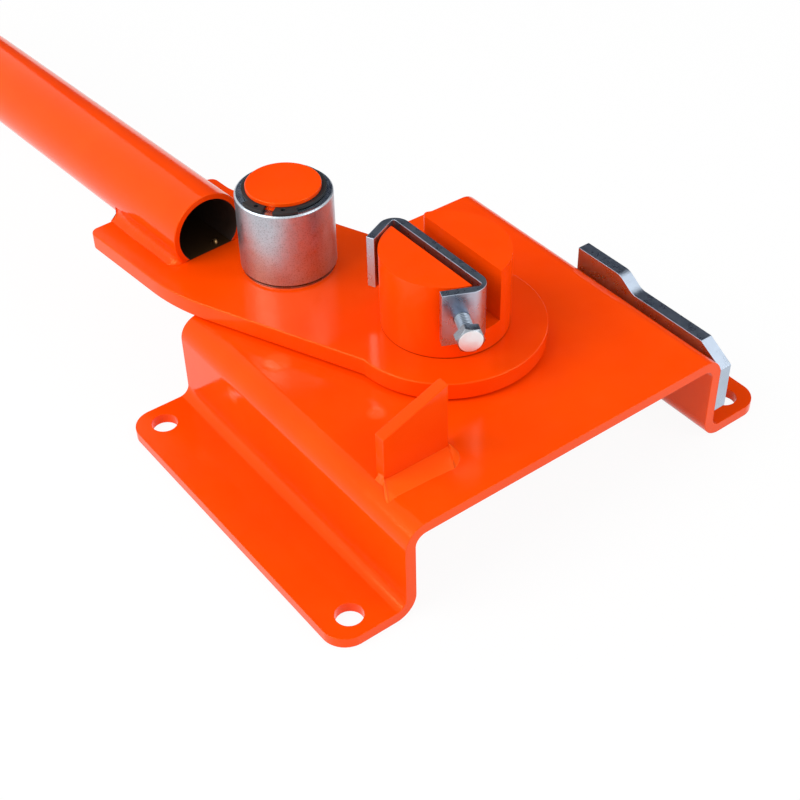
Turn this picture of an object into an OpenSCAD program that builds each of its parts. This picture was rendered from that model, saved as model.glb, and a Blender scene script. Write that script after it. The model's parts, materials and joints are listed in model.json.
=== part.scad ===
// Manual bar bender for a workbench.
// Origin: the middle of the base, at the level of the feet. +X points to the
// side with the zinc stop plate, +Y to the back, where the handle lies at rest.

/* [Base sheet] */
// Thickness of the bent sheet
sheet_t = 6; // [4:0.5:8]
// Inner radius of the bends
bend_r = 6; // [4:0.5:9]
// Width over the outer faces of the two legs
body_w = 203.5; // [190:0.5:240]
// Width of each foot beyond its bend
foot_w = 32.75; // [28:0.25:50]
// Depth of the base, front to back
base_d = 197; // [180:1:240]
// Height of the top face above the bench
base_h = 55; // [52:1:80]
// Corner radius of the feet
foot_corner_r = 13; // [6:1:18]
// Diameter of the four bench holes
bench_hole_d = 14; // [9:0.5:15]
// Distance of the bench holes from the ends of the feet
bench_hole_end = 15.5; // [13:0.5:18]
// Distance of the bench holes from the front and the back edge
bench_hole_side = 13.5; // [12:0.5:30]

/* [Boss and pivot] */
// Distance of the pivot to the right of the base's middle
pivot_x = 1; // [-5:0.5:5]
// Distance of the pivot behind the base's middle
pivot_y = 2.5; // [-5:0.5:5]
// Diameter of the boss head that the bar is bent round
boss_d = 67; // [60:1:68]
// Height of the boss head
boss_head_h = 43.2; // [36:0.2:60]
// Width of the slot across the head
slot_w = 18.5; // [16:0.5:22]
// Depth of the slot
slot_depth = 30; // [20:1:32]
// Rounding of the slot's back right edge, which the bar is bent round
slot_edge_r = 2.8; // [1:0.2:5]
// Diameter of the journal that the arm turns on
journal_d = 45; // [38:1:48]
// Diameter of the spigot in the base sheet
spigot_d = 30; // [27:1:36]
// Width over the spigot's two flats
spigot_flats = 25; // [24.5:0.5:27]
// Thread diameter of the stud below the spigot
stud_d = 24; // [20:1:24]
// Length of the stud below the base sheet
stud_len = 26; // [24:1:30]
// Outer diameter of the thrust washer
thrust_d = 90; // [70:1:98]
// Thickness of the thrust washer
thrust_t = 1.2; // [0.8:0.1:3]
// Outer diameter of the washer under the base sheet
boss_washer_d = 44; // [40:1:50]
// Thickness of the washer under the base sheet
boss_washer_t = 4; // [3:0.5:5]
// Width over the flats of the boss nut
boss_nut_af = 36; // [34:1:38]
// Height of the boss nut
boss_nut_h = 19; // [15:0.5:20]

/* [Arm] */
// Thickness of the arm plate
arm_t = 10; // [8:0.5:14]
// Radius of the arm's round head
arm_disc_r = 53; // [50:0.5:54]
// Direction of the neck's left edge, degrees left of +Y
neck_left_a = 23.9; // [22:0.1:27]
// Distance of the neck's left edge from the pivot
neck_left_d = 49; // [46:0.5:50]
// Direction of the neck's right edge, degrees left of +Y
neck_right_a = 22.5; // [20:0.1:25]
// Distance of the neck's right edge from the pivot
neck_right_d = 46; // [44:0.5:50]
// Radius of the bow between neck and tail on the left
neck_corner_r = 122; // [20:1:150]
// Radius of the hollow between neck and tail on the right
neck_hollow_r = 30; // [10:1:40]
// Radius of the tail's end corners
tail_corner_r = 5; // [2:0.5:12]
// Distance from the tail's left end corner to the handle's axis
tail_left_w = 40; // [36:0.5:44]
// Turn of the tail's left edge from the handle's direction, in degrees
tail_left_a = 1.25; // [0:0.05:3]
// Distance from the tail's right edge to the handle's axis
tail_right_w = 44; // [36:0.5:46]
// Wall of the bush in the arm's round head
bush_wall = 2.45; // [2:0.05:4]

/* [Handle] */
// Outer diameter of the handle tube
tube_d = 44; // [38:0.5:46]
// Wall of the handle tube
tube_wall = 3.5; // [2.5:0.1:4.5]
// Length of the handle tube
tube_len = 450; // [400:5:480]
// Direction of the handle, degrees left of +Y
tube_a = 3.5; // [2:0.1:6]
// Distance from the roller's washer to the handle's near end
tube_mouth_gap = 17.5; // [14:0.5:24]
// Direction of the handle's near end, degrees left of +Y
tube_mouth_a = 26.5; // [25:0.1:28]
// Height of the handle's axis above the arm plate
tube_rise = 13; // [11:0.5:16]
// Length of the handle that lies on the arm plate
tube_seat_len = 61.5; // [52:0.5:70]
// Width of each weld bead on the arm plate
tube_weld_w = 8.4; // [4:0.2:10]
// Height of each weld bead
tube_weld_h = 8; // [4:0.5:10]
// Thickness of the end plug's flange
plug_flange_t = 4; // [3:0.5:8]
// Depth of the end plug inside the tube
plug_depth = 20; // [10:1:40]

/* [Roller and its pin] */
// Diameter of the roller pin
pin_d = 40; // [38:0.5:43]
// Distance of the pin from the pivot
pin_r = 98; // [96:0.5:102]
// Direction of the pin, degrees left of +Y
pin_a = 20.8; // [18:0.1:23]
// Diameter of the pin's spigot in the arm plate
pin_spigot_d = 30; // [20:1:34]
// Length of the pin above the circlip groove
pin_cap_h = 2.3; // [1.6:0.1:5]
// Chamfer on top of the pin
pin_chamfer = 0.3; // [0.2:0.1:1.5]
// Width of the ring weld under the arm plate
pin_weld_w = 3; // [2:0.5:4]
// Diameter of the roller
roller_d = 52; // [51:0.5:58]
// Height of the roller
roller_h = 44; // [36:0.5:60]
// Chamfer round the roller's two ends
roller_chamfer = 0.8; // [0.4:0.1:2]
// Outer diameter of the washer under the roller
roller_washer_d = 51; // [48:0.5:52]
// Thickness of the washer under the roller
roller_washer_t = 1; // [0.8:0.1:2]
// Thickness of the circlip
circlip_t = 1.75; // [1.5:0.05:2.5]
// Depth of the circlip groove in the pin
groove_depth = 1.25; // [1:0.05:1.5]
// Width of the circlip opposite its gap
circlip_w = 4.3; // [3.5:0.1:4.5]
// Width of the circlip beside its lugs
circlip_neck_w = 2.7; // [2:0.1:3.5]
// Width of the circlip's lugs
circlip_lug_w = 6.4; // [4:0.1:6.6]
// Length of each lug along the ring
circlip_lug_len = 11.5; // [7:0.5:13]
// Width of the gap between the lugs
circlip_gap = 5.5; // [3:0.5:8]
// Diameter of the pliers' holes in the lugs
circlip_hole_d = 2.5; // [2:0.1:2.8]
// Direction of the circlip's gap in plan, degrees from +X
circlip_a = 217; // [0:1:359]

/* [Clamp] */
// Thickness of the clamp strip
strip_t = 4.5; // [3:0.5:6]
// Height of the clamp strip
strip_h = 30; // [20:1:36]
// Gap between the strip and the slot's left wall
strip_gap = 2.85; // [1:0.05:3.5]
// Height of the strip's lower edge above the slot's floor
strip_lift = 2; // [0.5:0.5:6]
// Angle between the strip's run and each ear
ear_a = 65; // [60:1:75]
// Inner radius of the strip's bends
strip_inner_r = 1.5; // [1:0.5:3]
// Outer radius of the strip's bends, where the sheet is drawn thin
strip_outer_r = 8.7; // [6:0.1:10]
// Gap between the front ear and the boss
front_ear_gap = 3.4; // [2:0.1:5]
// Gap between the back ear and the boss
back_ear_gap = 0.3; // [0.3:0.1:1]
// Reach of the front ear past the line through the pivot
front_ear_end = 11.6; // [8:0.2:16]
// Reach of the back ear past the line through the pivot
back_ear_end = 11.6; // [8:0.2:16]
// Thread diameter of the clamp bolt
clamp_bolt_d = 8; // [6:1:8]
// Length of the clamp bolt below its head
clamp_bolt_len = 20; // [16:1:30]
// Width over the flats of the clamp bolt's head
clamp_head_af = 13; // [12:0.5:14]
// Height of the clamp bolt's head
clamp_head_h = 5.3; // [4:0.1:7]
// Offset of the clamp bolt along the front ear
clamp_bolt_y = 1.6; // [0:0.1:3]

/* [Arm stop on the left] */
// Thickness of the stop tab
tab_t = 6.5; // [5:0.5:8]
// Distance from the base's middle to the tab's front face
tab_front_y = 66; // [64:0.5:72]
// Distance from the base's middle to the tab's inner edge
tab_inner_x = 51.3; // [46:0.1:60]
// Length of the tab
tab_w = 37.7; // [34:0.1:39]
// Height of the tab's outer edge
tab_outer_h = 26; // [18:0.5:36]
// Height of the tab's inner edge
tab_inner_h = 39.8; // [26:0.2:50]
// Size of the weld round the tab's foot
tab_weld = 5; // [3:0.5:6]

/* [Stop plate on the right] */
// Thickness of the stop plate
stop_t = 7.5; // [4:0.5:8]
// Distance from the base's middle to the stop plate's back end
stop_back_y = 11; // [6:0.5:16]
// Distance from the base's middle to the end of its high part
stop_shoulder_y = 21.5; // [16:0.5:30]
// Length of the slope between high and low part
stop_slope_len = 10.5; // [9:0.5:20]
// Height of the high part above the base
stop_high = 7; // [5:0.5:10]
// Height of the low part above the base
stop_low = 0; // [-2:0.5:3]
// Length of the chamfer at the front
stop_nose_len = 15.5; // [6:0.5:18]
// Height of the chamfer at the front
stop_nose_h = 9.5; // [5:0.5:14]
// Height of the stop plate's lower edge above the bench
stop_bottom_z = 17; // [14:0.5:22]
// Rounding of the slope's two bends
stop_slope_r = 9; // [3:0.5:10]
// Rounding of the lower corners
stop_corner_r = 1.5; // [1:0.5:6]
// Thread diameter of the stop plate's bolts
stop_bolt_d = 8; // [6:1:8]
// Length of the stop plate's bolts
stop_bolt_len = 25; // [24:1:35]
// Height of the stop plate's bolts above the bench
stop_bolt_z = 31; // [28:0.5:36]
// Distance from the base's middle to the front bolt
stop_bolt_front_y = 70; // [55:1:84]
// Distance from the base's middle to the back bolt
stop_bolt_back_y = 10; // [4:1:25]
// Width over the flats of the bolt heads and nuts
stop_hex_af = 13; // [12:0.5:14]
// Height of the nuts
stop_nut_h = 6.5; // [5:0.5:8]
// Outer diameter of the washers
small_washer_d = 16; // [15:0.5:20]
// Thickness of the washers
small_washer_t = 1.6; // [1:0.1:2]

/* [Fits] */
// Radial clearance of a part that turns or slides on another
run_clear = 0.05; // [0.02:0.01:0.1]
// Gap between faces that move past each other
face_gap = 0.3; // [0.2:0.05:0.5]
// Radial clearance of a screw or spigot in its hole
hole_clear = 0.1; // [0.05:0.05:0.3]
// Radial clearance of a pressed part
press_clear = 0.01; // [0.01:0.01:0.02]
// Radial clearance of a bolt in a plain hole
bolt_clear = 0.5; // [0.3:0.1:0.8]

/* [Hidden] */
$fn = 96;

// Colours
paint = [0.98, 0.29, 0.03];
zinc = [0.74, 0.78, 0.83];
black_steel = [0.08, 0.08, 0.09];
bronze = [0.70, 0.50, 0.24];
black_plastic = [0.06, 0.06, 0.06];

// Overlap of cutting shapes past the faces that they cut
cut = 1;
// Extra radius of a rounding's cutter, so that it crosses the edges it blends into
blend = 0.02;
// Size of a block that is larger than any thin part that it trims
far = 60;

// Base sheet
leg_x = body_w / 2;
bend_outer_r = bend_r + sheet_t;
foot_end_x = leg_x + bend_r + foot_w;

// Heights, from the bench up
arm_z = base_h + thrust_t + face_gap;
arm_top = arm_z + arm_t;
head_z = arm_top + face_gap;
boss_top = head_z + boss_head_h;
slot_z = boss_top - slot_depth;
sheet_under = base_h - sheet_t;

// Pivot
journal_r = journal_d / 2;
bush_bore_r = journal_r + run_clear;
bush_r = bush_bore_r + bush_wall;
thrust_bore_r = journal_r + face_gap;
stud_chamfer = 2;

// Roller and pin
roller_z = arm_top + roller_washer_t + face_gap;
circlip_z = roller_z + roller_h + face_gap;
groove_z = circlip_z - run_clear;
groove_h = circlip_t + 2 * run_clear;
pin_top = groove_z + groove_h + pin_cap_h;
groove_r = pin_d / 2 - groove_depth;
roller_bore_r = pin_d / 2 + run_clear;
pin_weld_r = pin_spigot_d / 2 + pin_weld_w;

// Place of a circlip's hole along its lug, from the gap's side
circlip_hole_place = 0.4;

// Handle: its near end in plan, and the distance of its axis from the pivot
tube_mouth_r = pin_r + roller_washer_d / 2 + tube_mouth_gap;
mouth = tube_mouth_r * [-sin(tube_mouth_a), cos(tube_mouth_a)];
tube_axis_d = tube_mouth_r * cos(90 - tube_mouth_a + tube_a);
tube_bore_d = tube_d - 2 * tube_wall;
tube_z = arm_top + tube_rise;
plug_rim = 1.5;
tail_end_y = tube_mouth_r * sin(90 - tube_mouth_a + tube_a) + tube_seat_len;

// Stop tab: how far its weld stops short of its back face
tab_weld_short = 2;

// Clamp
boss_r = boss_d / 2;
run_x = -slot_w / 2 + strip_gap;
ear_dir = 180 - ear_a;
clamp_z = slot_z + strip_lift;
clamp_bolt_z = clamp_z + strip_h / 2;

// Hexagons: the share of the width that stays flat on top, how far the cone that
// turns off the corners starts outside them, and the small bolts' head and tip
hex_flat = 0.95;
hex_over = 0.2;
hex_head_h = 5.3;
bolt_tip = 1;
leg_inner_x = leg_x - sheet_t;

// Points and lines in plan.
// A line is given by its direction a, in degrees left of +Y, and by the
// distance d of the line from the pivot, counted towards its left side.
function dir(a) = [cos(a), sin(a)];
function line_meet(a1, d1, a2, d2) =
    [d2 * sin(a1) - d1 * sin(a2), d1 * cos(a2) - d2 * cos(a1)] / sin(a2 - a1);

function unit(v) = v / norm(v);
function turn(u, v) = atan2(u[0] * v[1] - u[1] * v[0], u * v);

// Pie slice of a disc between two directions less than 180 degrees apart
module slice(r, from, to) {
    intersection() {
        circle(r = r);
        polygon([[0, 0], 2 * r * dir(from), 2 * r * dir((from + to) / 2), 2 * r * dir(to)]);
    }
}

// Part of a ring between two directions
module ring_slice(r_in, r_out, from, to) {
    difference() {
        slice(r_out, from, to);
        circle(r = r_in);
    }
}

// What an outward corner loses to a rounding of radius r: the kite between its
// centre, its two ends and the corner, less a disc. It reaches past the corner.
module corner_loss(centre, start, corner, end, r) {
    difference() {
        polygon([for (q = [centre, start, corner, end]) centre + 1.5 * (q - centre)]);
        translate(centre) circle(r = r + blend);
    }
}

// Polygon, run anticlockwise, with an arc of the radius in r at each corner.
// At a hollow corner it reaches to the arc's centre, and a disc is cut out.
module rounded_polygon(p, r) {
    n = len(p);
    ahead = [for (i = [0:n - 1]) unit(p[(i + 1) % n] - p[i])];
    bend = [for (i = [0:n - 1]) turn(ahead[(i + n - 1) % n], ahead[i])];
    leg = [for (i = [0:n - 1]) abs(r[i] * tan(bend[i] / 2))];
    start = [for (i = [0:n - 1]) p[i] - leg[i] * ahead[(i + n - 1) % n]];
    end = [for (i = [0:n - 1]) p[i] + leg[i] * ahead[i]];
    centre = [for (i = [0:n - 1]) end[i] + sign(bend[i]) * r[i] * [-ahead[i][1], ahead[i][0]]];
    hollow = [for (i = [0:n - 1]) r[i] > 0 && bend[i] < 0];
    difference() {
        polygon([for (i = [0:n - 1]) each hollow[i] ? [start[i], centre[i], end[i]] : [p[i]]]);
        for (i = [0:n - 1]) {
            if (hollow[i]) translate(centre[i]) circle(r = r[i] + blend);
            else if (r[i] > 0) corner_loss(centre[i], start[i], p[i], end[i], r[i]);
        }
    }
}

// Outline drawn in Y and Z made a plate of thickness t along +X
module plate_yz(t) {
    rotate([90, 0, 90]) linear_extrude(t) children();
}

// Flat ring from z = 0 up
module ring(r_in, r_out, h) {
    difference() {
        cylinder(h = h, r = r_out);
        translate([0, 0, -cut]) cylinder(h = h + 2 * cut, r = r_in);
    }
}

// Hexagon from z = 0 up, with its corners turned off at the top, or at both ends
module hexagon(af, h, both = false) {
    crown_r = hex_flat * af / 2;
    rim_r = af / 2 / cos(30) + hex_over;
    drop = (rim_r - crown_r) * tan(30);
    low = both ? drop : 0;
    low_r = both ? crown_r : rim_r;
    intersection() {
        cylinder(h = h, r = af / 2 / cos(30), $fn = 6);
        rotate_extrude() polygon([[0, 0], [low_r, 0], [rim_r, low], [rim_r, h - drop],
            [crown_r, h], [0, h]]);
    }
}

// Hexagon bolt, its head's underside at z = 0 and its shank along -Z
module hex_bolt(d, len, af, head_h) {
    hexagon(af, head_h);
    rotate_extrude() polygon([[0, 0], [d / 2, 0], [d / 2, bolt_tip - len],
        [d / 2 - bolt_tip, -len], [0, -len]]);
}

// Section of one half of the base sheet, in X and Z
module half_hat() {
    translate([0, sheet_under]) square([leg_x - bend_outer_r, sheet_t]);
    translate([leg_x - bend_outer_r, base_h - bend_outer_r]) ring_slice(bend_r, bend_outer_r, 0, 90);
    translate([leg_inner_x, bend_outer_r]) square([sheet_t, base_h - 2 * bend_outer_r]);
    translate([leg_x + bend_r, bend_outer_r]) ring_slice(bend_r, bend_outer_r, 180, 270);
    translate([leg_x + bend_r, 0]) square([foot_w, sheet_t]);
}

// Frame of the pivot, its height counted from the bench
module at_pivot() {
    translate([pivot_x, pivot_y, 0]) children();
}

// Outline of the spigot: a disc with two flats, larger all round by extra
module double_d(extra) {
    intersection() {
        circle(r = spigot_d / 2 + extra);
        square([spigot_d + 4 * extra, spigot_flats + 2 * extra], center = true);
    }
}

module base_plate() {
    color(paint) difference() {
        translate([0, base_d / 2, 0]) rotate([90, 0, 0]) linear_extrude(base_d) union() {
            half_hat();
            mirror([1, 0]) half_hat();
        }
        for (sx = [0, 1], sy = [0, 1]) mirror([sx, 0, 0]) mirror([0, sy, 0]) {
            translate([foot_end_x - foot_corner_r, base_d / 2 - foot_corner_r, -cut])
                linear_extrude(sheet_t + 2 * cut) corner_loss([0, 0], [foot_corner_r, 0],
                    [foot_corner_r, foot_corner_r], [0, foot_corner_r], foot_corner_r);
            translate([foot_end_x - bench_hole_end, base_d / 2 - bench_hole_side, -cut])
                cylinder(h = sheet_t + 2 * cut, d = bench_hole_d);
        }
        at_pivot() translate([0, 0, sheet_under - cut])
            linear_extrude(sheet_t + 2 * cut) double_d(hole_clear);
        for (y = [-stop_bolt_front_y, -stop_bolt_back_y]) translate([leg_inner_x - cut, y, stop_bolt_z])
            rotate([0, 90, 0]) cylinder(h = sheet_t + 2 * cut, r = stop_bolt_d / 2 + bolt_clear);
    }
}

// Place of the stop tab: its front edge on the base's top face, its inner edge at x = 0
module at_tab() {
    translate([-tab_inner_x, -tab_front_y, base_h]) children();
}

module arm_stop_tab() {
    color(paint) at_tab() translate([0, tab_t, 0]) rotate([90, 0, 0]) linear_extrude(tab_t)
        polygon([[0, 0], [0, tab_inner_h], [-tab_w, tab_outer_h], [-tab_w, 0]]);
}

// Weld round the tab's foot, in front and at both ends. It stops short of the
// tab's back face, which the arm swings up to.
module stop_tab_weld() {
    back = tab_t - tab_weld_short;
    color(paint) at_tab() difference() {
        intersection() {
            translate([0, back, 0]) rotate([90, 0, 0]) linear_extrude(back + tab_weld)
                polygon([[tab_weld, 0], [0, tab_weld], [-tab_w, tab_weld], [-tab_w - tab_weld, 0]]);
            translate([-tab_w - tab_weld, 0, 0]) plate_yz(tab_w + 2 * tab_weld)
                polygon([[-tab_weld, 0], [back, 0], [back, tab_weld], [0, tab_weld]]);
        }
        translate([-tab_w, 0, -cut]) cube([tab_w, tab_t, tab_weld + 2 * cut]);
    }
}

// Stop plate on the right leg: a high part that the arm runs against, a slope,
// a low part and a chamfered nose flush with the front of the base
module stop_plate() {
    high_z = base_h + stop_high;
    low_z = base_h + stop_low;
    front_y = -base_d / 2;
    slope_end = -stop_shoulder_y - stop_slope_len;
    color(zinc) translate([leg_x, 0, 0]) difference() {
        plate_yz(stop_t) rounded_polygon(
            [[front_y, stop_bottom_z], [stop_back_y, stop_bottom_z], [stop_back_y, high_z],
                [-stop_shoulder_y, high_z], [slope_end, low_z], [front_y + stop_nose_len, low_z],
                [front_y, low_z - stop_nose_h]],
            [stop_corner_r, stop_corner_r, 0, stop_slope_r, stop_slope_r, 0, 0]);
        for (y = [-stop_bolt_front_y, -stop_bolt_back_y]) translate([-cut, y, stop_bolt_z])
            rotate([0, 90, 0]) cylinder(h = stop_t + 2 * cut, r = stop_bolt_d / 2 + bolt_clear);
    }
}

// Axes of the stop plate's two bolts, z = 0 on the leg's inner face
module at_stop_bolts() {
    for (y = [-stop_bolt_front_y, -stop_bolt_back_y]) translate([leg_inner_x, y, stop_bolt_z])
        rotate([0, 90, 0]) rotate(30) children();
}

module stop_plate_bolts() {
    color(zinc) at_stop_bolts() translate([0, 0, sheet_t + stop_t + small_washer_t])
        hex_bolt(stop_bolt_d, stop_bolt_len, stop_hex_af, hex_head_h);
}

module stop_plate_washers() {
    color(zinc) at_stop_bolts() for (z = [-small_washer_t, sheet_t + stop_t]) translate([0, 0, z])
        ring(stop_bolt_d / 2 + hole_clear, small_washer_d / 2, small_washer_t);
}

module stop_plate_nuts() {
    color(zinc) at_stop_bolts() translate([0, 0, -small_washer_t - stop_nut_h]) difference() {
        hexagon(stop_hex_af, stop_nut_h, both = true);
        translate([0, 0, -cut]) cylinder(h = stop_nut_h + 2 * cut, r = stop_bolt_d / 2 + run_clear);
    }
}

// Boss: slotted head, journal, spigot and threaded stud in one piece
module centre_boss() {
    stud_r = stud_d / 2;
    stud_z = sheet_under - stud_len;
    wall_x = slot_w / 2;
    edge_centre = [wall_x + slot_edge_r,
        sqrt(pow(boss_r - slot_edge_r, 2) - pow(wall_x + slot_edge_r, 2))];
    color(paint) at_pivot() union() {
        difference() {
            translate([0, 0, head_z]) cylinder(h = boss_head_h, r = boss_r);
            translate([-wall_x, -boss_d, slot_z]) cube([slot_w, 2 * boss_d, slot_depth + cut]);
            translate([0, 0, slot_z]) linear_extrude(slot_depth + cut)
                corner_loss(edge_centre, [wall_x, edge_centre[1]],
                    [wall_x, sqrt(pow(boss_r, 2) - pow(wall_x, 2))],
                    boss_r * unit(edge_centre), slot_edge_r);
        }
        translate([0, 0, base_h]) cylinder(h = head_z - base_h, r = journal_r);
        translate([0, 0, sheet_under]) linear_extrude(sheet_t) double_d(0);
        rotate_extrude() polygon([[0, stud_z], [stud_r - stud_chamfer, stud_z],
            [stud_r, stud_z + stud_chamfer], [stud_r, sheet_under], [0, sheet_under]]);
    }
}

module thrust_washer() {
    color(zinc) at_pivot() translate([0, 0, base_h]) ring(thrust_bore_r, thrust_d / 2, thrust_t);
}

module boss_washer() {
    color(zinc) at_pivot() translate([0, 0, sheet_under - boss_washer_t])
        ring(stud_d / 2 + bolt_clear, boss_washer_d / 2, boss_washer_t);
}

module boss_nut() {
    color(zinc) at_pivot() translate([0, 0, sheet_under - boss_washer_t - boss_nut_h]) difference() {
        hexagon(boss_nut_af, boss_nut_h, both = true);
        translate([0, 0, -cut]) cylinder(h = boss_nut_h + 2 * cut, r = stud_d / 2 + run_clear);
    }
}

// Points of the clamp strip in plan, behind the pivot: where an ear's face at
// distance d from the pivot meets the run's face at x, and where the ear ends
function ear_corner(d, x) = [x, (d - x * cos(ear_dir)) / sin(ear_dir)];
function ear_tip(d, end) = d * dir(ear_dir) + end * dir(ear_dir + 90);
function to_front(p) = [p[0], -p[1]];

// Clamp strip in plan: a run along the slot and an ear at each end
module strip_outline() {
    back = boss_r + back_ear_gap;
    front = boss_r + front_ear_gap;
    outer_x = run_x + strip_t;
    rounded_polygon(
        [to_front(ear_tip(front + strip_t, front_ear_end)),
            to_front(ear_corner(front + strip_t, outer_x)),
            ear_corner(back + strip_t, outer_x), ear_tip(back + strip_t, back_ear_end),
            ear_tip(back, back_ear_end), ear_corner(back, run_x),
            to_front(ear_corner(front, run_x)), to_front(ear_tip(front, front_ear_end))],
        [0, strip_outer_r, strip_outer_r, 0, 0, strip_inner_r, strip_inner_r, 0]);
}

// Frame of the clamp bolt: z along it, away from the boss, z = 0 level with the pivot's axis
module at_clamp_bolt() {
    at_pivot() rotate(-ear_dir) translate([0, -clamp_bolt_y, clamp_bolt_z]) rotate([0, 90, 0]) children();
}

module clamp_bracket() {
    color(zinc) difference() {
        at_pivot() translate([0, 0, clamp_z]) linear_extrude(strip_h) strip_outline();
        at_clamp_bolt() translate([0, 0, boss_r])
            cylinder(h = front_ear_gap + strip_t + cut, r = clamp_bolt_d / 2 + run_clear);
    }
}

module clamp_bolt() {
    color(zinc) at_clamp_bolt() translate([0, 0, boss_r + face_gap + clamp_bolt_len])
        hex_bolt(clamp_bolt_d, clamp_bolt_len, clamp_head_af, clamp_head_h);
}

// Arm in plan: a round head, a neck towards the roller and a cranked tail under the handle
module arm_outline() {
    tail_a = tube_a;
    tail_left = tube_axis_d + tail_left_w;
    tail_right = tube_axis_d - tail_right_w;
    left_foot = -neck_left_d * dir(neck_left_a);
    right_foot = neck_right_d * dir(neck_right_a);
    end_corner = line_meet(tail_a, tail_left, tail_a - 90, tail_end_y);
    edge_a = tail_a + tail_left_a;
    edge_d = -end_corner * dir(edge_a);
    circle(r = arm_disc_r);
    rounded_polygon(
        [left_foot, right_foot, line_meet(neck_right_a, -neck_right_d, tail_a, tail_right),
            line_meet(tail_a, tail_right, tail_a - 90, tail_end_y),
            end_corner, line_meet(neck_left_a, neck_left_d, edge_a, edge_d)],
        [0, 0, neck_hollow_r, tail_corner_r, tail_corner_r, neck_corner_r]);
}

// Place of the roller pin in plan
module at_pin() {
    at_pivot() rotate(90 + pin_a) translate([pin_r, 0, 0]) children();
}

module arm_plate() {
    color(paint) difference() {
        at_pivot() translate([0, 0, arm_z]) linear_extrude(arm_t) arm_outline();
        at_pivot() translate([0, 0, arm_z - cut]) cylinder(h = arm_t + 2 * cut, r = bush_r + press_clear);
        at_pin() {
            translate([0, 0, arm_z - cut]) cylinder(h = arm_t + 2 * cut, r = pin_spigot_d / 2 + press_clear);
            translate([0, 0, arm_z]) cylinder(h = pin_weld_w, r1 = pin_weld_r, r2 = pin_spigot_d / 2);
        }
    }
}

module pivot_bush() {
    color(bronze) at_pivot() translate([0, 0, arm_z]) ring(bush_bore_r, bush_r, arm_t);
}

// Frame of the handle: y = 0 at its near end, +Y along it, z = 0 on its axis
module at_handle() {
    at_pivot() translate([mouth[0], mouth[1], tube_z]) rotate(tube_a) children();
}

module handle_tube() {
    color(paint) at_handle() difference() {
        rotate([-90, 0, 0]) ring(tube_bore_d / 2, tube_d / 2, tube_len);
        translate([-far, -cut, -tube_rise - far]) cube([2 * far, tube_seat_len + face_gap + cut, far]);
    }
}

// Welds along both sides of the tube, on top of the arm plate
module handle_weld() {
    seat_x = sqrt(pow(tube_d / 2, 2) - pow(tube_rise, 2));
    top_z = tube_weld_h - tube_rise;
    top_x = sqrt(pow(tube_d / 2, 2) - pow(top_z, 2));
    color(paint) at_handle() for (side = [0, 1]) mirror([side, 0, 0])
        translate([0, tube_seat_len, 0]) rotate([90, 0, 0]) linear_extrude(tube_seat_len) difference() {
            polygon([[seat_x - cut, -tube_rise], [seat_x + tube_weld_w, -tube_rise],
                [top_x, top_z], [top_x - cut, top_z]]);
            circle(d = tube_d);
        }
}

module handle_end_plug() {
    rim = plug_rim;
    color(black_plastic) at_handle() translate([0, tube_len, 0]) rotate([-90, 0, 0]) rotate_extrude()
        polygon([[0, -plug_depth], [tube_bore_d / 2 - hole_clear - rim, -plug_depth],
            [tube_bore_d / 2 - hole_clear, rim - plug_depth], [tube_bore_d / 2 - hole_clear, 0],
            [tube_d / 2, 0], [tube_d / 2, plug_flange_t - rim], [tube_d / 2 - rim, plug_flange_t],
            [0, plug_flange_t]]);
}

// Pin: a spigot in the arm plate, a thick stem for the roller, and a groove for the circlip
module roller_pin() {
    r = pin_d / 2;
    spigot_z = arm_z + face_gap;
    color(paint) at_pin() rotate_extrude()
        polygon([[0, spigot_z], [pin_spigot_d / 2, spigot_z], [pin_spigot_d / 2, arm_top],
            [r, arm_top], [r, groove_z], [groove_r, groove_z], [groove_r, groove_z + groove_h],
            [r, groove_z + groove_h], [r, pin_top - pin_chamfer], [r - pin_chamfer, pin_top],
            [0, pin_top]]);
}

// Ring weld that fills the countersink under the arm plate
module roller_pin_weld() {
    r = pin_spigot_d / 2 + press_clear;
    color(paint) at_pin() rotate_extrude()
        polygon([[r, arm_z], [pin_weld_r - press_clear, arm_z], [r, arm_z + pin_weld_w - 2 * press_clear]]);
}

module roller_washer() {
    color(zinc) at_pin() translate([0, 0, arm_top])
        ring(pin_d / 2 + face_gap, roller_washer_d / 2, roller_washer_t);
}

module roller() {
    r = roller_d / 2;
    c = roller_chamfer;
    color(zinc) at_pin() translate([0, 0, roller_z]) rotate_extrude()
        polygon([[roller_bore_r, 0], [r - c, 0], [r, c], [r, roller_h - c], [r - c, roller_h],
            [roller_bore_r, roller_h]]);
}

// Circlip in plan, its gap on +X: a ring that is thickest opposite the gap,
// with two lugs that have a hole each
module circlip_outline() {
    r = groove_r + run_clear;
    shift = (circlip_w - circlip_neck_w) / 2;
    lug_r = r + circlip_lug_w;
    mid_r = r + circlip_lug_w / 2;
    gap_a = asin(circlip_gap / 2 / mid_r);
    lug_a = gap_a + circlip_lug_len / mid_r * 180 / PI;
    hole_a = gap_a + circlip_hole_place * (lug_a - gap_a);
    difference() {
        union() {
            translate([-shift, 0]) circle(r = r + circlip_neck_w + shift);
            for (s = [-1, 1]) slice(lug_r, s * gap_a / 2, s * lug_a);
        }
        circle(r = r);
        translate([0, -circlip_gap / 2]) square([2 * lug_r, circlip_gap]);
        for (s = [-1, 1]) translate(mid_r * dir(s * hole_a)) circle(d = circlip_hole_d, $fn = 24);
    }
}

module roller_circlip() {
    color(black_steel) at_pin() translate([0, 0, circlip_z]) rotate(circlip_a - 90 - pin_a)
        linear_extrude(circlip_t) circlip_outline();
}

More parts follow.
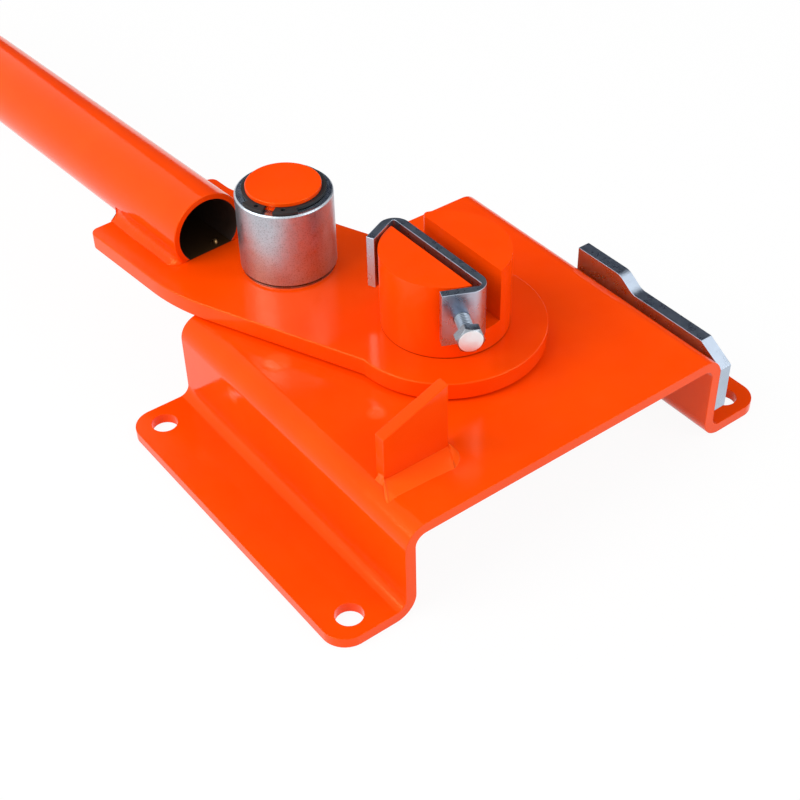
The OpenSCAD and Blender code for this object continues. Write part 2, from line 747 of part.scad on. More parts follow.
base_plate();
arm_stop_tab();
stop_tab_weld();
stop_plate();
stop_plate_bolts();
stop_plate_washers();
stop_plate_nuts();
centre_boss();
thrust_washer();
boss_washer();
boss_nut();
clamp_bracket();
clamp_bolt();
arm_plate();
pivot_bush();
handle_tube();
handle_weld();
handle_end_plug();
roller_pin();
roller_pin_weld();
roller_washer();
roller();
roller_circlip();
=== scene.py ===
"""Looks of the manual bar bender: painted steel, zinc plate, threads, welds and a soft studio."""

import json
import math

import bmesh
import bpy
import numpy as np
from bpy.props import FloatProperty, FloatVectorProperty, IntProperty, PointerProperty
from mathutils import Matrix, Vector


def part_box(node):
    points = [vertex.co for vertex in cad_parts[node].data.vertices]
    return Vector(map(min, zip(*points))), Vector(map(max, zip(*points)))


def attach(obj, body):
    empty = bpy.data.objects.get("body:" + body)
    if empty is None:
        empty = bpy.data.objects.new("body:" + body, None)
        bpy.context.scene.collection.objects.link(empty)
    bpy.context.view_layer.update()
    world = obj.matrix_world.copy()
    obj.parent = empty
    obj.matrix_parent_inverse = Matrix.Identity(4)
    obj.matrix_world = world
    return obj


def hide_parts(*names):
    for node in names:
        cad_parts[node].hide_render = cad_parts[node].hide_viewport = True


bl_info = {
    "name": "Bar Bender Looks",
    "version": (1, 0, 0),
    "blender": (4, 5, 0),
    "location": "3D View > Sidebar > Bender",
    "description": "Dresses the manual bar bender with paint, zinc, threads, welds and a studio",
    "category": "Object",
}

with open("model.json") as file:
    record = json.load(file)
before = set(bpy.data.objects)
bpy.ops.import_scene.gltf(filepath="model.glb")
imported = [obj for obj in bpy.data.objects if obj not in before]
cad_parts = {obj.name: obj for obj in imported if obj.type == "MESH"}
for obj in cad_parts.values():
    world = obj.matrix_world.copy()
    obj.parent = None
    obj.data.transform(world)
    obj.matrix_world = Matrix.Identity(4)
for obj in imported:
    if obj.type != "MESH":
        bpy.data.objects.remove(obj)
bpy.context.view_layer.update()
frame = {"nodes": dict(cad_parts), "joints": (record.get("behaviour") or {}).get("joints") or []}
MM = 0.001
UP = np.array([0.0, 0.0, 1.0])


# Places read from the frame

def read_all(items, key, width=1, kind=np.float32):
    """One property of all items, such as vertices or faces, as an array. With a width above
    1 it has a row for each item."""
    found = np.empty(len(items) * width, kind)
    items.foreach_get(key, found)
    return found.reshape(-1, width) if width > 1 else found


def node_points(node):
    """All vertices of a CAD node as an n by 3 array, in metres."""
    return read_all(frame["nodes"][node].data.vertices, "co", 3).astype(float)


def off_axis(points, start, axis):
    """Distance of each point from the line through start along the axis."""
    off = points - np.asarray(start)
    return np.linalg.norm(off - np.outer(off @ axis, axis), axis=1)


def joint_named(name):
    """The record's joint of that name."""
    return next(j for j in frame["joints"] if j["name"] == name)


def corners(node):
    """Lowest and highest corner of a CAD node as arrays, in metres."""
    low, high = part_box(node)
    return np.array(low), np.array(high)


PIVOT = np.array(joint_named("arm_swing")["pos_m"])
SCREW_POINT = np.array(joint_named("screw_turn")["pos_m"])
SCREW_AXIS = np.array(joint_named("screw_turn")["axis"])
BASE_TOP = corners("base_plate")[1][2]
ARM_TOP = float(corners("arm_plate")[1][2])
TAB_LOW, TAB_HIGH = corners("arm_stop_tab")
TUBE = node_points("handle_tube")
LEG_X = float(corners("stop_plate")[0][0])  # outside of the right leg
BEND_R = 12 * MM  # outside of the base's bends


def tube_frame():
    """Start, direction, level direction across, bore radius and outer radius of the handle.
    Its walls all stand along it, so its direction is the eigenvector of the least eigenvalue of
    the faces' normals times their areas. The start is level with the lowest point along that
    direction, halfway between the outermost points across it and halfway up."""
    faces = frame["nodes"]["handle_tube"].data.polygons
    normal, area = read_all(faces, "normal", 3).astype(float), read_all(faces, "area").astype(float)
    along = np.linalg.eigh(np.einsum("i,ij,ik->jk", area, normal, normal))[1][:, 0]
    axis = np.array([along[0], along[1], 0.0]) * np.sign(along[1])
    axis /= np.linalg.norm(axis)
    across = np.cross(axis, UP)
    reach, side = TUBE @ axis, TUBE @ across
    start = axis * reach.min() + across * (side.min() + side.max()) / 2
    start[2] = (TUBE[:, 2].min() + TUBE[:, 2].max()) / 2
    radii = off_axis(TUBE, start, axis)
    return start, axis, across, radii.min(), radii.max()


TUBE_START, TUBE_AXIS, TUBE_SIDE, TUBE_BORE_R, TUBE_R = tube_frame()


# Sizes and colours that a user would change

def tint(name, description, default):
    """A colour setting."""
    return FloatVectorProperty(name=name, description=description, subtype="COLOR", size=3,
                               min=0, max=1, default=default)


def size_in_mm(name, description, low, high, default):
    """A length setting, whose limits and default are in millimetres."""
    return FloatProperty(name=name, description=description, unit="LENGTH", min=low * MM,
                         max=high * MM, default=default * MM)


class BenderFinish(bpy.types.PropertyGroup):
    """Colours and gloss of the bender's finishes"""

    paint: tint("Paint", "Colour of the powder coat", (0.93, 0.056, 0.0))
    paint_light: tint(
        "Light Paint", "Paler colour that the powder coat varies to", (0.98, 0.07, 0.0006))
    paint_roughness: FloatProperty(
        name="Paint Roughness", description="Roughness of the powder coat", min=0.05, max=1,
        default=0.14)
    paint_gleam: tint(
        "Paint Gleam", "Colour that the powder coat gives its reflections", (1.0, 0.72, 0.2))
    mark_paint: tint(
        "Marked Paint", "Colour of the powder coat in the heat marks", (1.0, 0.14, 0.03))
    # painted light: the tab weld's coat is paler than the rest of the coat, standing in for the
    # brighter light on the band in front of the tab
    weld_paint_lit: tint(
        "Lit Weld Paint", "Colour of the powder coat on the tab's weld", (0.96, 0.094, 0.005))
    # painted shade: the dark line where the boss meets the arm stands in for the shadow in the gap
    # between them
    gap_shade: tint("Gap Shade", "Colour of the line where the boss meets the arm", (0.22, 0.004, 0.0))
    zinc: tint("Zinc", "Colour of the zinc plating", (0.47, 0.55, 0.66))
    zinc_turned: tint("Turned Zinc", "Colour of the plating on turned pieces", (0.52, 0.57, 0.63))
    # painted highlight and painted shade: the tops of bolt heads get a far paler zinc, and bolts,
    # nuts and washers a darker one, as lit and shaded copies of one plating
    zinc_lit_top: tint(
        "Lit Zinc", "Colour of the plating on the tops of bolt heads", (0.86, 0.88, 0.9))
    zinc_shade: tint(
        "Shaded Zinc", "Colour of the plating on bolts, nuts and washers", (0.34, 0.37, 0.41))
    black_steel: tint("Black Steel", "Colour of the spring steel ring", (0.006, 0.006, 0.007))
    bronze: tint(
        "Bronze", "Colour of the pivot bush and the drop in the handle", (0.42, 0.24, 0.09))
    plastic: tint("Plastic", "Colour of the handle's end plug", (0.014, 0.014, 0.015))
    bare_steel: tint("Bare Steel", "Colour of the steel inside the handle", (0.03, 0.014, 0.007))


class BenderSizes(bpy.types.PropertyGroup):
    """Edge radii, thread and weld sizes of the bender's pieces"""

    paint_edge: size_in_mm("Painted Edge", "Rounding of painted edges", 0.2, 2, 0.8)
    zinc_edge: size_in_mm("Plated Edge", "Rounding of plated edges", 0.1, 1, 0.2)
    edge_segments: IntProperty(
        name="Edge Segments", description="Steps across each rounded edge", min=1, max=6,
        default=3)
    m8_pitch: size_in_mm("M8 Pitch", "Pitch of the small bolts' thread", 0.8, 2, 1.25)
    stud_pitch: size_in_mm("Stud Pitch", "Pitch of the boss stud's thread", 1.5, 4, 3.0)
    ripple_pitch: size_in_mm("Ripple Pitch", "Length of one ripple of a weld", 1, 6, 2.6)
    ripple_height: size_in_mm("Ripple Height", "Height of a weld's ripples", 0, 1, 0.12)


class BenderStage(bpy.types.PropertyGroup):
    """Camera, lamps and floor of the studio"""

    camera_place: FloatVectorProperty(
        name="Camera Place", description="Where the camera stands", unit="LENGTH", size=3,
        default=(-0.364472, -0.457199, 0.519255))
    camera_turn: FloatVectorProperty(
        name="Camera Turn", description="Compass angle, fall and roll of the view",
        subtype="EULER", unit="ROTATION", size=3,
        default=(math.radians(-37.434), math.radians(40.763), math.radians(-0.547)))
    lens: FloatProperty(
        name="Lens", description="Focal length on a 36 mm sensor, in millimetres", min=20,
        max=200, default=64.847)
    shift: FloatVectorProperty(
        name="Shift", description="Shift of the picture as a share of its width", size=2,
        default=(-0.0311, -0.0042))
    key_power: FloatProperty(
        name="Key Power", description="Power of the large lamp on the left, in watts", min=0,
        max=200, default=32.0)
    fill_power: FloatProperty(
        name="Fill Power", description="Power of the lamp on the right, in watts", min=0,
        max=200, default=12.0)
    ambient: FloatProperty(
        name="Ambient", description="Strength of the even light from all round", min=0,
        max=2, default=0.62)
    dark_side: tint(
        "Dark Side", "Colour of the dark card that level gloss mirrors", (0.034, 0.037, 0.052))


# Mesh building

def mesh_object(name, points, loops, sizes):
    """Puts points (n by 3), the corner indices of all faces in a row, and the number of
    corners of each face into a new mesh, closes its seams and turns its faces outwards."""
    mesh = bpy.data.meshes.new(name)
    mesh.vertices.add(len(points))
    mesh.vertices.foreach_set("co", np.asarray(points, np.float32).ravel())
    mesh.loops.add(len(loops))
    mesh.loops.foreach_set("vertex_index", np.asarray(loops, np.int32))
    mesh.polygons.add(len(sizes))
    sizes = np.asarray(sizes, np.int32)
    mesh.polygons.foreach_set("loop_start", (np.cumsum(sizes) - sizes).astype(np.int32))
    mesh.polygons.foreach_set("loop_total", sizes)
    mesh.update(calc_edges=True)
    mesh.validate()
    bm = bmesh.new()
    bm.from_mesh(mesh)
    bmesh.ops.remove_doubles(bm, verts=bm.verts, dist=1e-7)
    bmesh.ops.dissolve_degenerate(bm, dist=1e-8, edges=bm.edges)
    bmesh.ops.recalc_face_normals(bm, faces=bm.faces)
    bm.to_mesh(mesh)
    bm.free()
    obj = bpy.data.objects.new(name, mesh)
    bpy.context.scene.collection.objects.link(obj)
    return obj


def ring_grid_faces(rows, cols):
    """Quads between neighbouring rings of a rows by cols grid, whose rings are closed:
    ring i, corner j joins i,j  i,j+1  i+1,j+1  i+1,j, with j counted round the ring."""
    i, j = np.meshgrid(np.arange(rows - 1), np.arange(cols), indexing="ij")
    k = (j + 1) % cols
    quads = np.stack([i * cols + j, i * cols + k, (i + 1) * cols + k, (i + 1) * cols + j], -1)
    return quads.reshape(-1, 4)


def capped_tube(grid):
    """Points and faces of a closed body whose sections are the rings of grid, an array
    of rows by cols by 3. Each end is closed by a fan of triangles to the middle of its ring."""
    rows, cols = grid.shape[:2]
    points = np.concatenate([grid.reshape(-1, 3), grid[0].mean(0)[None], grid[-1].mean(0)[None]])
    quads = ring_grid_faces(rows, cols)
    j = np.arange(cols)
    k = (j + 1) % cols
    first = np.stack([k, j, np.full(cols, rows * cols)], -1)
    end = (rows - 1) * cols
    last = np.stack([end + j, end + k, np.full(cols, rows * cols + 1)], -1)
    loops = np.concatenate([quads.ravel(), first.ravel(), last.ravel()])
    sizes = np.concatenate([np.full(len(quads), 4), np.full(2 * cols, 3)])
    return points, loops, sizes


def joined(parts):
    """Several (points, loops, sizes) put behind one another as one."""
    points, loops, sizes, count = [], [], [], 0
    for p, l, s in parts:
        points.append(p)
        loops.append(np.asarray(l) + count)
        sizes.append(s)
        count += len(p)
    return np.concatenate(points), np.concatenate(loops), np.concatenate(sizes)


def basis(axis):
    """Three unit vectors as the rows of an array: two across the axis, and the axis."""
    w = np.asarray(axis, float) / np.linalg.norm(axis)
    helper = UP if abs(w[2]) < 0.9 else np.array([1.0, 0.0, 0.0])
    u = np.cross(helper, w)
    u /= np.linalg.norm(u)
    return np.stack([u, np.cross(w, u), w])


THREAD_DEPTH = 0.6  # as a share of the pitch


def thread_grid(radius, depth, pitch, length, tip, cols=48, steps=12):
    """Rings of a threaded rod along +Z from 0 to length. At height z and angle a the
    radius is R - depth * f(z / pitch - a / 2 pi), where f falls and rises once a turn: 0 on the
    crest, 1 in the root, straight flanks between. The groove fades in at the start, and the
    last tip of the length narrows at 45 degrees."""
    crest, flank, run_in = 0.12, 0.7, 0.4
    rows = max(int(length / pitch * steps), 8)
    z = np.linspace(0, length, rows)[:, None]
    a = np.linspace(0, 2 * np.pi, cols, endpoint=False)[None, :]
    wave = np.abs(2 * ((z / pitch - a / (2 * np.pi)) % 1.0) - 1)
    groove = np.clip((wave - crest) / flank, 0, 1)
    fade = np.clip(z / (run_in * pitch), 0, 1)
    r = radius - depth * groove * fade
    narrow = radius - np.clip(z - (length - tip), 0, tip)
    r = np.minimum(r, narrow)
    return np.stack([r * np.cos(a), r * np.sin(a), z + 0 * a], -1)


def hexagon_grid(flats, height, cols=96):
    """Rings of a hexagon along +Z. At angle a its side stands at R(a) = flats / 2 / cos(a
    folded into one face), and the side ends below the top by (R(a) - crown) * tan 30, where the
    cone that turns off the corners meets it. The top is flat inside the crown and stands a
    little proud of the cone."""
    a = np.linspace(0, 2 * np.pi, cols, endpoint=False)
    side = flats / 2 / np.cos((a + np.pi / 6) % (np.pi / 3) - np.pi / 6)
    crown, proud, middle = 0.475 * flats, 0.18 * MM, 0.01 * MM
    fall = np.clip(side - crown, 0, None) * math.tan(math.radians(30))
    cone_top = height - proud
    edge = [(middle, 0), (0.49 * flats, 0), (side, 0), (side, cone_top - fall), (crown, cone_top),
            (0.985 * crown, height), (middle, height)]
    return np.stack([np.stack([r * np.cos(a), r * np.sin(a), z + 0 * a], -1) for r, z in edge])


def placed(grid, origin, axis, turn=0.0):
    """A grid along +Z turned so that +Z runs along the axis and moved to the origin. turn
    rolls it round the axis."""
    u, v, w = basis(axis)
    c, s = math.cos(turn), math.sin(turn)
    u, v = c * u + s * v, -s * u + c * v
    return np.asarray(origin) + grid @ np.stack([u, v, w])


def bolt_parts(head_under, axis, length, radius, flats, head_height, pitch, turn):
    """A hexagon bolt as a pair for joined(): its thread, which runs against the axis from
    head_under, and its head, which stands along the axis. The thread starts a little inside
    the head."""
    inside, tip = 0.3 * MM, 1 * MM
    thread = thread_grid(radius, THREAD_DEPTH * pitch, pitch, length + inside, tip)
    head = hexagon_grid(flats, head_height)
    axis = np.asarray(axis, float)
    return (capped_tube(placed(thread, np.asarray(head_under) + axis * inside, -axis)),
            capped_tube(placed(head, head_under, axis, turn)))


def smooth_noise(x, seed):
    """Smooth wandering values between about -1 and 1 along x: a sum of three sines of rising
    frequency and falling height, with phases from the seeded generator."""
    rng = np.random.default_rng(seed)
    rise, fall, peak = 1.9, 1.7, 1.9
    total = np.zeros_like(np.asarray(x, float))
    for k in range(3):
        phase, rate = rng.uniform(0, 2 * np.pi), rng.uniform(0.8, 1.25) * rise ** k
        total += np.sin(rate * np.asarray(x) + phase) / fall ** k
    return total / peak


# Finishing

def finish_piece(obj, body, materials, replaced=()):
    """Gives a piece its materials, one name or several, hangs it on its body and hides the CAD
    nodes that it stands for."""
    obj.data.materials.clear()
    for name in [materials] if isinstance(materials, str) else materials:
        obj.data.materials.append(finishes()[name])
    obj.data.polygons.foreach_set("use_smooth", np.ones(len(obj.data.polygons), bool))
    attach(obj, body)
    if replaced:
        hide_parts(*replaced)


def round_edges(obj, width, segments=None, angle=28):
    """Bevels every edge sharper than the angle, in the steps of the setting where segments
    aren't given, and weights the normals by face area, so that flat faces stay flat and each
    edge catches a thin line of light."""
    bevel = obj.modifiers.new("Rounded Edges", "BEVEL")
    bevel.width = width
    bevel.segments = segments or bpy.context.scene.bender_sizes.edge_segments
    bevel.limit_method = "ANGLE"
    bevel.angle_limit = math.radians(angle)
    bevel.use_clamp_overlap = True
    bevel.miter_outer = "MITER_ARC"
    weight = obj.modifiers.new("Flat Faces", "WEIGHTED_NORMAL")
    weight.keep_sharp = True
    weight.weight = 60


def copy_of_node(node, name):
    """A copy of a CAD node's mesh with its doubles merged and its flat faces joined."""
    mesh = frame["nodes"][node].data.copy()
    mesh.name = name
    bm = bmesh.new()
    bm.from_mesh(mesh)
    bmesh.ops.remove_doubles(bm, verts=bm.verts, dist=2e-6)
    bmesh.ops.dissolve_degenerate(bm, dist=1e-6, edges=bm.edges)
    bmesh.ops.dissolve_limit(bm, angle_limit=math.radians(0.4), verts=bm.verts, edges=bm.edges)
    bm.to_mesh(mesh)
    bm.free()
    for attribute in [a.name for a in mesh.attributes if a.name.startswith("custom_normal")]:
        mesh.attributes.remove(mesh.attributes[attribute])
    obj = bpy.data.objects.new(name, mesh)
    bpy.context.scene.collection.objects.link(obj)
    return obj


def rounded_copy(node, name, body, materials, width, segments=None):
    """A CAD node's shape with rounded edges, shown in its place."""
    obj = copy_of_node(node, name)
    finish_piece(obj, body, materials, (node,))
    round_edges(obj, width, segments)
    return obj


def dress_node(node, name):
    """Puts the material of that name on a CAD node that keeps its own shape."""
    mesh, material = frame["nodes"][node].data, finishes()[name]
    if mesh.materials:
        mesh.materials[0] = material
    else:
        mesh.materials.append(material)


# Materials

NOISE_SPAN = (0.3, 0.7)  # where the values of a noise mostly lie
# painted shade: the near-black colour that thread grooves are darkened to
GROOVE_SHADE = (0.006, 0.006, 0.007, 1)


class NodeSheet:
    """Adds nodes and links to one node tree."""

    def __init__(self, tree):
        self.tree = tree

    def add(self, kind, *first, **named):
        """A node of that kind. first feeds its first inputs in their order. Of the named
        values, those with a capital feed inputs, and the others set properties."""
        node = self.tree.nodes.new(kind)
        for key, value in named.items():
            if key[0].isupper():
                self.feed(node.inputs[key.replace("_", " ")], value)
            else:
                setattr(node, key, value)
        for socket, value in zip(node.inputs, first):
            self.feed(socket, value)
        return node

    def feed(self, socket, value):
        """Links a socket to the input, or sets its value."""
        if isinstance(value, bpy.types.NodeSocket):
            self.tree.links.new(value, socket)
        else:
            socket.default_value = value

    def math(self, operation, a, b=0.0):
        """The output of a Math node on two values or sockets."""
        return self.add("ShaderNodeMath", a, b, operation=operation).outputs[0]

    def vector_math(self, operation, a, b=(0, 0, 0)):
        """A Vector Math node on two vectors or sockets."""
        return self.add("ShaderNodeVectorMath", a, b, operation=operation)

    def height(self):
        """The Z of the object coordinates."""
        return self.add("ShaderNodeSeparateXYZ", Vector=object_place(self)).outputs["Z"]

    def noise(self, scale, detail, roughness=0.5):
        """The factor of a Noise Texture over the object coordinates."""
        return self.add("ShaderNodeTexNoise", Vector=object_place(self), Scale=scale,
                        Detail=detail, Roughness=roughness).outputs["Fac"]

    def blend(self, factor, a, b):
        """The output of a Mix node between two colours."""
        node = self.add("ShaderNodeMix", factor, data_type="RGBA")
        self.feed(node.inputs[6], a)
        self.feed(node.inputs[7], b)
        return node.outputs[2]

    def span(self, value, low, high, to_low=0.0, to_high=1.0, smooth=False):
        """The output of a Map Range node from low..high to to_low..to_high."""
        return self.add("ShaderNodeMapRange", value, low, high, to_low, to_high,
                        interpolation_type="SMOOTHSTEP" if smooth else "LINEAR").outputs[0]


def value_group(name, inputs, outputs, build):
    """A node group with float inputs and outputs of those names. build gets the sheet and
    the input sockets, and returns the output sockets in order."""
    if name in bpy.data.node_groups:
        return bpy.data.node_groups[name]
    group = bpy.data.node_groups.new(name, "ShaderNodeTree")
    for way, labels in (("INPUT", inputs), ("OUTPUT", outputs)):
        for label in labels:
            group.interface.new_socket(label, in_out=way, socket_type="NodeSocketFloat")
    entry = group.nodes.new("NodeGroupInput")
    leave = group.nodes.new("NodeGroupOutput")
    results = build(NodeSheet(group), *[entry.outputs[label] for label in inputs])
    for label, result in zip(outputs, results):
        group.links.new(result, leave.inputs[label])
    return group


def object_place(sheet):
    """Object coordinates, in metres from the bender's origin."""
    return sheet.add("ShaderNodeTexCoord").outputs["Object"]


def coat_film(sheet, size, speckle):
    """Powder coat: Height is a fine orange peel plus a slow swell and, where Speckle is not
    0, patches of coarser grain. Tone wanders over centimetres and Gloss over a centimetre."""
    peel = sheet.noise(sheet.math("DIVIDE", 1.0, size), 2.0, 0.45)
    swell = sheet.noise(90.0, 1.0)
    grains = sheet.noise(900.0, 2.0)
    patches = sheet.span(sheet.noise(55.0, 2.0), 0.48, 0.62, 0.1, 1.0, smooth=True)
    rough = sheet.math("MULTIPLY", sheet.math("MULTIPLY", grains, speckle), patches)
    height = sheet.math("ADD", peel, sheet.math("MULTIPLY", swell, 1.6))
    return sheet.math("ADD", height, rough), sheet.noise(16.0, 3.0, 0.6), sheet.noise(75.0, 3.0)


def heat_marks(sheet):
    """Three round marks, left by heat and welding on the far side of the sheet: Mask is 1
    inside a mark and fades at its rim, Ripple is a coarse noise inside it."""
    total = None
    for point in HEAT_MARKS:
        away = sheet.vector_math("DISTANCE", object_place(sheet), point[:3]).outputs["Value"]
        mask = sheet.span(away, point[3] * 0.55, point[3], to_low=1.0, to_high=0.0, smooth=True)
        total = mask if total is None else sheet.math("MAXIMUM", total, mask)
    return total, sheet.math("MULTIPLY", sheet.noise(260.0, 2.5, 0.6), total)


def plated_grain(sheet, grain_size, line_size):
    """Zinc plating: Height is a fine grain, Tone a slow cloud with stains, Gloss the
    change of roughness, Line fine lines across Z that a lathe or roll leaves."""
    line = sheet.add("ShaderNodeTexNoise", noise_dimensions="1D", Scale=1.0, Detail=2.0,
                     W=sheet.math("DIVIDE", sheet.height(), line_size))
    return (sheet.noise(sheet.math("DIVIDE", 1.0, grain_size), 2.0, 0.6),
            sheet.noise(55.0, 4.0, 0.62), sheet.noise(240.0, 3.0), line.outputs["Fac"])


def face_material(obj, axis, least):
    """Gives the second material to every face of the piece whose normal along the axis
    passes least."""
    faces = obj.data.polygons
    level = read_all(faces, "normal", 3) @ np.asarray(axis, float) > least
    faces.foreach_set("material_index", level.astype(np.int32))


def empty_sheet(owner):
    """The sheet of a material's or world's emptied node tree."""
    owner.use_nodes = True
    owner.node_tree.nodes.clear()
    return NodeSheet(owner.node_tree)


def seen_straight(sheet):
    """1 for rays from the camera, off gloss and through glass, and 0 for all others."""
    path = sheet.add("ShaderNodeLightPath").outputs
    return sheet.math("MAXIMUM", path["Is Camera Ray"],
                      sheet.math("MAXIMUM", path["Is Glossy Ray"], path["Is Transmission Ray"]))


def blank_material(name):
    """A new material with its sheet, shader and output linked."""
    material = bpy.data.materials.new(name)
    sheet = empty_sheet(material)
    shader = sheet.add("ShaderNodeBsdfPrincipled")
    sheet.add("ShaderNodeOutputMaterial", Surface=shader.outputs[0])
    return material, sheet, shader


def use_group(sheet, group, **named):
    """The outputs of a group node with some of its inputs set."""
    return sheet.add("ShaderNodeGroup", node_tree=group, **named).outputs


def feed_shader(sheet, shader, colour, rough, height, strength, distance):
    """Feeds the colour, the roughness and a Bump node of that height to the shader."""
    bump = sheet.add("ShaderNodeBump", Strength=strength, Distance=distance, Height=height)
    sheet.feed(shader.inputs["Base Color"], colour)
    sheet.feed(shader.inputs["Roughness"], rough)
    sheet.feed(shader.inputs["Normal"], bump.outputs[0])


def rgba(colour, gain=1.0):
    """A colour with its alpha, brightened by gain."""
    return (*[min(c * gain, 1.0) for c in colour], 1.0)


def inside_tube(sheet):
    """Mask is 1 within the handle and past its mouth, where the coat hardly reaches: the
    distance from the tube's axis is below its outer radius."""
    off = sheet.vector_math("SUBTRACT", object_place(sheet), TUBE_START).outputs[0]
    along = sheet.vector_math("DOT_PRODUCT", off, TUBE_AXIS)
    away = sheet.vector_math("CROSS_PRODUCT", off, TUBE_AXIS).outputs[0]
    radius = sheet.vector_math("LENGTH", away)
    mouth, wall = (-0.1 * MM, 0.5 * MM), (TUBE_R - 0.8 * MM, TUBE_R - 0.4 * MM)
    past = sheet.span(along.outputs["Value"], *mouth)
    near = sheet.span(radius.outputs["Value"], *wall, to_low=1.0, to_high=0.0)
    return (sheet.math("MULTIPLY", past, near),)


def painted(name, finish, peel, speckle=0.0, strength=0.06, marked=False, tube=False,
            light=None, foot=None):
    """Orange powder coat over steel. peel is the width of its orange peel, speckle the height of
    its coarse grain, strength that of its bump, light the colour in place of the two of the finish
    (on the tab's weld a paler colour that is painted light), and foot the height just above which a
    painted shade line darkens the coat, standing in for the shadow in the gap where the boss meets
    the arm."""
    film_group = value_group("Coat Film", ["Peel Size", "Speckle"], ["Height", "Tone", "Gloss"],
                             coat_film)
    material, sheet, shader = blank_material(name)
    film = use_group(sheet, film_group, Peel_Size=peel, Speckle=speckle)
    colour = sheet.blend(sheet.span(film["Tone"], *NOISE_SPAN), rgba(light or finish.paint),
                         rgba(light or finish.paint_light, 1.08 if light else 1.0))
    height = film["Height"]
    dull, wander = finish.paint_roughness, 0.04
    gloss = sheet.span(film["Gloss"], *NOISE_SPAN, dull - wander, dull + wander)
    if marked:
        mark_share, mark_height = 0.35, 12.0
        marks = use_group(sheet, value_group("Heat Marks", [], ["Mask", "Ripple"], heat_marks))
        colour = sheet.blend(sheet.math("MULTIPLY", marks["Mask"], mark_share), colour,
                             rgba(finish.mark_paint))
        height = sheet.math("ADD", height, sheet.math("MULTIPLY", marks["Ripple"], mark_height))
    # painted shade: a dark line just above foot, where the boss meets the arm, stands in for the
    # shadow in their gap
    if foot is not None:
        dark_until, clear_from = foot + 0.3 * MM, foot + 1.1 * MM
        line = sheet.span(sheet.height(), dark_until, clear_from,
                          to_low=0.85, to_high=0.0, smooth=True)
        colour = sheet.blend(line, colour, rgba(finish.gap_shade))
    if tube:
        bare = use_group(sheet, value_group("Inside Tube", [], ["Mask"], inside_tube))
        colour = sheet.blend(bare["Mask"], colour, rgba(finish.bare_steel))
        gloss = sheet.math("MAXIMUM", gloss, sheet.math("MULTIPLY", bare["Mask"], 0.6))
    shader.inputs["Specular IOR Level"].default_value = 0.34
    shader.inputs["Specular Tint"].default_value = rgba(finish.paint_gleam)
    feed_shader(sheet, shader, colour, gloss, height, strength, distance=0.4 * MM)
    return material


def plated(name, colour, dull, grain_size=0.0006, line_size=0.0006, line_share=0.1,
           strength=0.012, speck=0.0, shaded_grooves=False):
    """Zinc plating. dull is its roughness, line_share how far its lines show, strength that of its
    bump, and speck how far a fine speckle darkens it. A thread's grooves can be darkened to near
    black by their groove attribute, as painted shade."""
    group = value_group("Plated Grain", ["Grain Size", "Line Size"],
                        ["Height", "Tone", "Gloss", "Line"], plated_grain)
    material, sheet, shader = blank_material(name)
    grain = use_group(sheet, group, Grain_Size=grain_size, Line_Size=line_size)
    tone = sheet.span(grain["Tone"], 0.36, 0.66)
    base = sheet.blend(tone, rgba(colour, gain=0.93), rgba(colour, gain=1.05))
    if speck:
        specks = sheet.span(grain["Height"], 0.3, 0.52, to_low=speck, to_high=0.0, smooth=True)
        base = sheet.blend(specks, base, rgba(colour, gain=0.25))
    # painted shade: the thread's grooves are darkened towards near black by their depth, standing
    # in for the shade in them
    if shaded_grooves:
        groove = sheet.add("ShaderNodeAttribute", attribute_name="groove")
        share = sheet.span(groove.outputs["Fac"], 0.1, 0.6, to_low=0.0, to_high=0.98)
        base = sheet.blend(share, base, GROOVE_SHADE)
    line = sheet.math("MULTIPLY", grain["Line"], line_share)
    rough = sheet.math("ADD", sheet.span(grain["Gloss"], *NOISE_SPAN, dull - 0.03, dull + 0.05),
                       sheet.math("MULTIPLY", line, 0.08))
    shader.inputs["Metallic"].default_value = 1.0
    height = sheet.math("ADD", grain["Height"], line)
    feed_shader(sheet, shader, base, rough, height, strength, distance=0.2 * MM)
    return material


def plain_rough(name, colour, light, roughness, scale, strength, metallic=0.0):
    """A finish whose colour runs between two tones over a noise, with the same noise in its
    roughness and bump."""
    material, sheet, shader = blank_material(name)
    noise = sheet.noise(scale, 4.0, 0.6)
    colour = sheet.blend(sheet.span(noise, 0.32, 0.68), rgba(colour), rgba(light))
    rough = sheet.span(noise, *NOISE_SPAN, roughness - 0.07, roughness + 0.1)
    shader.inputs["Metallic"].default_value = metallic
    height = sheet.math("ADD", noise, sheet.math("MULTIPLY", sheet.noise(scale * 9, 2.0), 0.5))
    feed_shader(sheet, shader, colour, rough, height, strength, distance=0.3 * MM)
    return material


